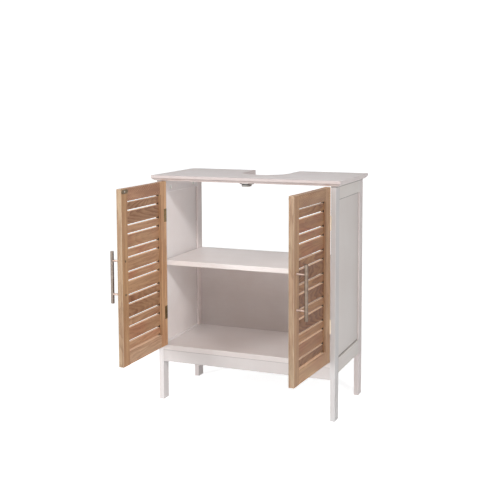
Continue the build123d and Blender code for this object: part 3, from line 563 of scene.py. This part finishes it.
def closed_skin(rings):
    """Corners and faces of a row of rings, each joined to the next, with the end rings filled in. The
    faces point outwards: they are turned over if the volume, the sum over the faces of the corners'
    triple product about the middle, comes out negative."""
    count, around = rings.shape[:2]
    corners = rings.reshape(-1, 3)
    i, j = np.meshgrid(np.arange(count - 1), np.arange(around), indexing="ij")
    k = (j + 1) % around
    quads = np.stack([i * around + j, i * around + k, (i + 1) * around + k, (i + 1) * around + j], -1)
    quads = quads.reshape(-1, 4)
    a, b, c, d = np.moveaxis(corners[quads] - corners.mean(0), 1, 0)
    volume = (np.cross(a, b) * c).sum() + (np.cross(a, c) * d).sum()
    first = np.arange(around)[::-1]
    last = np.arange(around) + (count - 1) * around
    if volume < 0:
        quads, first, last = quads[:, ::-1], first[::-1], last[::-1]
    return corners, quads.tolist() + [first.tolist(), last.tolist()]


def piece(name, body, skins, material, slot, *replaced):
    """One added piece made of closed skins, riding on a body in the place of CAD nodes."""
    corners, faces, start = [], [], 0
    for rings in skins:
        points, rows = closed_skin(rings)
        corners.append(points)
        faces += [[start + corner for corner in face] for face in rows]
        start += len(points)
    mesh = bpy.data.meshes.new(name)
    mesh.from_pydata(np.concatenate(corners).tolist(), [], faces)
    mesh.polygons.foreach_set("use_smooth", np.ones(len(faces), bool))
    mesh.set_sharp_from_angle(angle=math.radians(38))
    mesh.materials.append(material)
    made = bpy.data.objects.new(name, mesh)
    scene.collection.objects.link(made)
    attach(made, body)
    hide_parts(*replaced)


def crossways(axis):
    """Two directions square to an axis and to each other."""
    helper = np.array([0.0, 0.0, 1.0]) if abs(axis[2]) < 0.9 else np.array([1.0, 0.0, 0.0])
    first = np.cross(helper, axis)
    first /= np.linalg.norm(first)
    return first, np.cross(axis, first)


def turned(centre, axis, profile, around=48):
    """Turned skin: at each place and radius of the profile, a circle round the axis at that place."""
    place, radius = np.asarray(profile, float).T
    u, v = crossways(axis)
    angle = np.linspace(0, 2 * math.pi, around, endpoint=False)[:, None]
    circle = np.cos(angle) * u + np.sin(angle) * v
    return centre + place[:, None, None] * axis + radius[:, None, None] * circle


def round_over(place, radius, edge, direction):
    """Profile of a quarter-round edge that starts on the end face: the radius grows by the sine of the
    angle and the place by 1 less its cosine."""
    angle = np.linspace(0, math.pi / 2, 6)
    return [(place + direction * edge * (1 - math.cos(a)), radius - edge * (1 - math.sin(a))) for a in angle]


def driver_head(centre, axis, radius, crown, cross, seat, around=96, rows=30):
    """Round screw head. At radius r its skin stands crown · (1 − (r / radius)²) above the rim, less a
    recess in the shape of a cross, whose arms are a quarter of its length wide. It goes down to
    its seat below the rim."""
    u, v = crossways(axis)
    r = radius * np.linspace(0.03, 1.0, rows)[:, None]
    angle = np.linspace(0, 2 * math.pi, around, endpoint=False)
    x, y = r * np.cos(angle), r * np.sin(angle)
    soft = 0.12 * cross

    def arm(across, lengthways):
        return np.clip((cross / 8 - np.abs(across)) / soft + 1, 0, 1) * \
            np.clip((cross / 2 - np.abs(lengthways)) / soft, 0, 1)

    height = crown * (1 - (r / radius) ** 2) - 0.35 * cross * np.maximum(arm(x, y), arm(y, x))
    x, y, height = (np.vstack([part, part[-1:]]) for part in (x, y, height))
    height[-1] = -seat
    return centre + x[..., None] * u + y[..., None] * v + height[..., None] * axis


def oval_plate(centre, lengthways, upwards, out, length, width, thickness, dish, around=96, rows=26):
    """Domed plate with round ends. Each ring lies between the hole's circle and the oval outline, at
    the part t of the way. Its height, as a part of the thickness, is 1 less 0.25 · t² towards the rim
    and 0.45 · (1 − t)³ towards the dish round the screw, and over the last tenth it rolls off in a
    quarter circle to 0.35 of that."""
    angle = np.linspace(0, 2 * math.pi, around, endpoint=False) + math.pi / around
    cosine, sine = np.cos(angle), np.sin(angle)
    rim_x = np.sign(cosine) * (length - width) / 2 + width / 2 * cosine
    rim_y = width / 2 * sine
    t = np.linspace(0, 1, rows)[:, None]
    x = (1 - t) * dish * cosine + t * rim_x
    y = (1 - t) * dish * sine + t * rim_y
    roll = np.clip((t - 0.9) / 0.1, 0, 1)
    height = thickness * (1 - 0.25 * t ** 2 - 0.45 * (1 - t) ** 3) * (0.35 + 0.65 * np.sqrt(1 - roll ** 2))
    height = height * np.ones_like(x)
    x, y, height = (np.vstack([part[:1], part, part[-1:]]) for part in (x, y, height))
    height[0], height[-1] = 0.2 * thickness, 0.0
    return centre + x[..., None] * lengthways + y[..., None] * upwards + height[..., None] * out


def soft_box(centre, axes, rings, around=96, power=7.0):
    """Moulded block: each ring is a rounded rectangle, on which |x / half_x| and |y / half_y| to the
    given power add up to 1, set at its own place along the third axis."""
    angle = np.linspace(0, 2 * math.pi, around, endpoint=False) + math.pi / around
    cosine, sine = np.cos(angle), np.sin(angle)
    x = np.sign(cosine) * np.abs(cosine) ** (2 / power)
    y = np.sign(sine) * np.abs(sine) ** (2 / power)
    place, half_x, half_y = (column[:, None, None] for column in np.asarray(rings, float).T)
    u, v, w = (np.asarray(axis, float) for axis in axes)
    return centre + half_x * x[:, None] * u + half_y * y[:, None] * v + place * w


# ---------------------------------------------------------------- handles, strike plates, catch, cams

# S and H give a place along the door and up it; REACH is the distance out from the outer face.
HANDLE_S, HANDLE_REACH, HANDLE_RADIUS, HANDLE_LENGTH = 249 * MM, 27 * MM, 4.97 * MM, 150 * MM
BAR_END = 0.9 * MM  # radius of the bar's softened ends
STANDOFF_SPACING, STANDOFF_RADIUS = 96 * MM, 4 * MM
HEAD_RADIUS, HEAD_HEIGHT, HEAD_RIM, HEAD_CROSS = 3.3 * MM, 2.2 * MM, 0.9 * MM, 3.8 * MM
STRIKE_S, STRIKE_H = 247.5 * MM, DOOR_HEIGHT - 8.3 * MM
STRIKE_LENGTH, STRIKE_WIDTH, STRIKE_THICKNESS = 36 * MM, 12 * MM, 1.2 * MM
SMALL_HEAD = 2.6 * MM


def handle_bar(foot, along, up, inward):
    """Round bar: the turned skin of a straight line that rounds over at both ends."""
    half = HANDLE_LENGTH / 2
    low = round_over(-half, HANDLE_RADIUS, BAR_END, 1)
    high = round_over(half, HANDLE_RADIUS, BAR_END, -1)
    centre = foot + HANDLE_S * along + DOOR_HEIGHT / 2 * up - HANDLE_REACH * inward
    return turned(centre, up, low + high[::-1], 64)


def standoff(foot, along, up, inward, h):
    """Turned post: a collar on the door, a slimmer neck, and a flare that meets the bar."""
    end = HANDLE_REACH - 0.8 * HANDLE_RADIUS
    neck = 0.74 * STANDOFF_RADIUS
    profile = [(0, 0.9 * STANDOFF_RADIUS), (0.3 * MM, STANDOFF_RADIUS), (1.5 * MM, STANDOFF_RADIUS)]
    profile += [(1.9 * MM, 0.9 * STANDOFF_RADIUS), (2.4 * MM, 0.8 * STANDOFF_RADIUS), (3.2 * MM, neck)]
    profile += [(end - 4 * MM, neck), (end - 2.6 * MM, 0.8 * STANDOFF_RADIUS), (end, 0.92 * STANDOFF_RADIUS)]
    return turned(foot + HANDLE_S * along + h * up, -inward, profile)


for side in SIDE:
    door = f"{side}_door"
    foot, along, up, inward = axes = door_axes(side)
    heights = [DOOR_HEIGHT / 2 + k * STANDOFF_SPACING / 2 for k in (-1, 1)]
    piece(f"{door}_bar", door, [handle_bar(*axes)], bar_nickel_lit_and_shaded[side], "handle_steel", f"{door}_handle_bar")
    piece(f"{door}_bar_posts", door, [standoff(*axes, h) for h in heights], post_nickel_reflection,
          "handle_steel", f"{door}_handle_standoffs")
    inner = foot + HANDLE_S * along + DOOR_THICKNESS * inward
    heads = [driver_head(inner + h * up + HEAD_RIM * inward, inward, HEAD_RADIUS, HEAD_HEIGHT - HEAD_RIM,
                         HEAD_CROSS, HEAD_RIM) for h in heights]
    piece(f"{door}_bar_screw_heads", door, heads, dark_bronze, "fastener_steel", f"{door}_handle_screws")
    strike = foot + STRIKE_S * along + STRIKE_H * up + DOOR_THICKNESS * inward
    piece(f"{door}_strike_oval", door,
          [oval_plate(strike, along, up, inward, STRIKE_LENGTH, STRIKE_WIDTH, STRIKE_THICKNESS, SMALL_HEAD)],
          dark_bronze, "strike_bronze", f"{door}_strike_plate")
    piece(f"{door}_strike_screw_head", door,
          [driver_head(strike + 0.5 * MM * inward, inward, SMALL_HEAD,
                       crown=0.6 * MM, cross=2.6 * MM, seat=0.3 * MM)],
          zinc_plate, "hinge_brass", f"{door}_strike_screw")

X_AXIS, Y_AXIS, Z_AXIS = np.eye(3)
FLANGE_THICKNESS, CATCH_SCREW_X = 5 * MM, 18 * MM
low, high = (np.array(corner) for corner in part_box("catch_housing"))
flange_z, flange_y = high[2] - FLANGE_THICKNESS, (low[1] + high[1]) / 2
depth = high[1] - low[1]
# Half the sizes of the case and of its mouth along x and z, and rings from the bottom of the mouth
# round its lip and back over the case: how far behind the lip, and half the sizes there.
case_x, case_z = 12.5 * MM, (high[2] - low[2]) / 2
mouth_x, mouth_z = 10.6 * MM, 4.1 * MM
case_rings = [(15.5 * MM, mouth_x, mouth_z), (0.5 * MM, mouth_x, mouth_z),
              (0.0, mouth_x + 0.4 * MM, mouth_z + 0.3 * MM),
              (0.0, case_x - 0.7 * MM, case_z - 0.6 * MM),
              (0.2 * MM, case_x - 0.2 * MM, case_z - 0.2 * MM),
              (0.7 * MM, case_x, case_z),
              (depth - 1.0 * MM, case_x - 0.3 * MM, case_z - 0.1 * MM),
              (depth - 0.3 * MM, case_x - 0.6 * MM, case_z - 0.4 * MM),
              (depth, case_x - 1.3 * MM, case_z - 1.0 * MM)]
flange_rings = [(0.0, 21.3 * MM, 6.3 * MM), (0.2 * MM, 21.8 * MM, 6.8 * MM), (0.7 * MM, 22 * MM, 7 * MM),
                (FLANGE_THICKNESS, 22 * MM, 7 * MM)]
catch_case = soft_box(np.array([0, low[1], (low[2] + high[2]) / 2]), (X_AXIS, Z_AXIS, Y_AXIS), case_rings)
catch_flange = soft_box(np.array([0, flange_y, flange_z]), (X_AXIS, Y_AXIS, Z_AXIS), flange_rings, power=5.0)
piece("catch_shell", "carcass", [catch_case, catch_flange], catch_grey, "catch_plastic", "catch_housing")
piece("catch_screw_heads", "carcass",
      [driver_head(np.array([k * CATCH_SCREW_X, flange_y, flange_z]), -Z_AXIS, SMALL_HEAD,
                   crown=0.7 * MM, cross=2.8 * MM, seat=0.4 * MM) for k in (-1, 1)],
      zinc_plate, "fastener_steel", "catch_screws")

low, high = (np.array(corner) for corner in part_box("top_cam_locks"))
CAM_RADIUS, CAM_LENGTH = 6 * MM, 12 * MM
cam_heads = [driver_head(np.array([k * (abs(low[0]) - CAM_LENGTH), y, (low[2] + high[2]) / 2]), -k * X_AXIS,
                         CAM_RADIUS, crown=0.25 * MM, cross=6.4 * MM, seat=0.5 * MM)
             for k in (-1, 1) for y in (low[1] + CAM_RADIUS, high[1] - CAM_RADIUS)]
piece("cam_faces", "carcass", cam_heads, zinc_plate, "fastener_steel", "top_cam_locks")


# ---------------------------------------------------------------- studio


FLOOR_COLOR, WHITE = (0.86, 0.86, 0.86, 1.0), (1.0, 1.0, 1.0, 1.0)
FLOOR_GLOW = 0.82  # lift of the floor where it is seen directly
AMBIENT = 0.03
CABINET_MIDDLE = (0.0, 0.0, 0.35)


def seen_directly(finish):
    """1 where the camera, gloss or glass looks at something, and 0 where light only falls on it."""
    paths = finish.node("ShaderNodeLightPath").socket.node.outputs
    kinds = ("Camera", "Glossy", "Transmission")
    direct, gloss, glass = (Value(finish, paths[f"Is {kind} Ray"]) for kind in kinds)
    return (direct + gloss + glass).least(1.0)


def floor_material():
    """Pale floor that keeps the shadow, lifted to white where it is seen directly."""
    finish = Finish("pale_floor")
    matt = finish.node("ShaderNodeBsdfDiffuse", (), {"Color": FLOOR_COLOR})
    glow = finish.node("ShaderNodeEmission", (),
                       {"Color": WHITE, "Strength": seen_directly(finish) * FLOOR_GLOW})
    both = finish.node("ShaderNodeAddShader", (), {0: matt, 1: glow})
    finish.node("ShaderNodeOutputMaterial", (), {"Surface": both})
    return finish.material


def floor_sheet():
    """Floor with a back that curves up, carried along X: it is level as far as the back, goes round a
    quarter circle, y = back + radius · sin a and z = radius · (1 − cos a), and then stands upright."""
    radius, half_width, front, back, top = 1.2, 7.0, -7.0, 2.2, 6.0
    arc = np.linspace(0, math.pi / 2, 24)
    y = np.concatenate(([front], back + radius * np.sin(arc), [back + radius]))
    z = np.concatenate(([0.0], radius * (1 - np.cos(arc)), [top]))
    x = np.array([-half_width, half_width])
    points = np.stack([np.repeat(x, len(y)), np.tile(y, 2), np.tile(z, 2)], 1)
    i = np.arange(len(y) - 1)
    faces = np.stack([i, i + len(y), i + 1 + len(y), i + 1], 1)
    mesh = bpy.data.meshes.new("floor")
    mesh.from_pydata(points.tolist(), [], faces.tolist())
    mesh.polygons.foreach_set("use_smooth", np.ones(len(faces), bool))
    mesh.materials.append(floor_material())
    floor = bpy.data.objects.new("floor", mesh)
    scene.collection.objects.link(floor)
    return floor


def room_light():
    """Faint even light from all sides; white where the camera, gloss or glass looks past the floor."""
    world = bpy.data.worlds.new("studio")
    scene.world = world
    finish = Finish("studio", world)
    white = finish.node("ShaderNodeBackground", (), {"Color": WHITE, "Strength": 1.0})
    ambient = finish.node("ShaderNodeBackground", (), {"Color": WHITE, "Strength": AMBIENT})
    blend = finish.node("ShaderNodeMixShader", (), {0: seen_directly(finish), 1: ambient, 2: white})
    finish.node("ShaderNodeOutputWorld", (), {"Surface": blend})


def lamp(name, place, aim, size, power):
    """Square soft light that faces a point."""
    data = bpy.data.lights.new(name, "AREA")
    data.shape = "SQUARE"
    data.size = size
    data.energy = power
    made = bpy.data.objects.new(name, data)
    made.location = place
    made.rotation_euler = (Vector(aim) - Vector(place)).to_track_quat("-Z", "Y").to_euler()
    scene.collection.objects.link(made)


floor_sheet()
scene.view_settings.view_transform = "Standard"
room_light()
lamp("key_light", (-1.90, -2.60, 2.50), CABINET_MIDDLE, 0.6, 32.0)
lamp("left_light", (-2.20, -3.00, 1.20), CABINET_MIDDLE, 1.0, 42.0)
lamp("side_light", (2.60, -2.40, 0.70), CABINET_MIDDLE, 1.2, 24.0)
lamp("high_light", (2.70, -2.50, 2.70), CABINET_MIDDLE, 0.5, 52.0)
lamp("floor_light", (0.20, -1.50, 1.50), (0.20, -1.50, 0.0), 1.2, 23.0)

# The camera as it was solved from the photo's edges. Its focus, its shift and the photo's width are in
# pixels, and the sensor's width is in millimetres.
CAMERA_PLACE = Vector((1.018654, -2.471270, 0.932597))
YAW, PITCH, ROLL = (math.radians(a) for a in (22.0499, -5.5096, -0.1830))
FOCUS, SHIFT_Y, PHOTO_WIDTH, SENSOR_WIDTH = 911.596, -64, 500, 36.0
ahead = Vector((-math.sin(YAW) * math.cos(PITCH), math.cos(YAW) * math.cos(PITCH), math.sin(PITCH)))
level = Vector((math.cos(YAW), math.sin(YAW), 0.0))
upright = level.cross(ahead)
right = level * math.cos(ROLL) + upright * math.sin(ROLL)
up = upright * math.cos(ROLL) - level * math.sin(ROLL)
camera_data = bpy.data.cameras.new("camera")
camera_data.sensor_width = SENSOR_WIDTH
camera_data.lens = FOCUS / PHOTO_WIDTH * SENSOR_WIDTH
camera_data.shift_y = SHIFT_Y / PHOTO_WIDTH
camera = bpy.data.objects.new("camera", camera_data)
camera.matrix_world = Matrix(((right.x, up.x, -ahead.x, CAMERA_PLACE.x),
                              (right.y, up.y, -ahead.y, CAMERA_PLACE.y),
                              (right.z, up.z, -ahead.z, CAMERA_PLACE.z), (0, 0, 0, 1)))
scene.collection.objects.link(camera)
scene.camera = camera
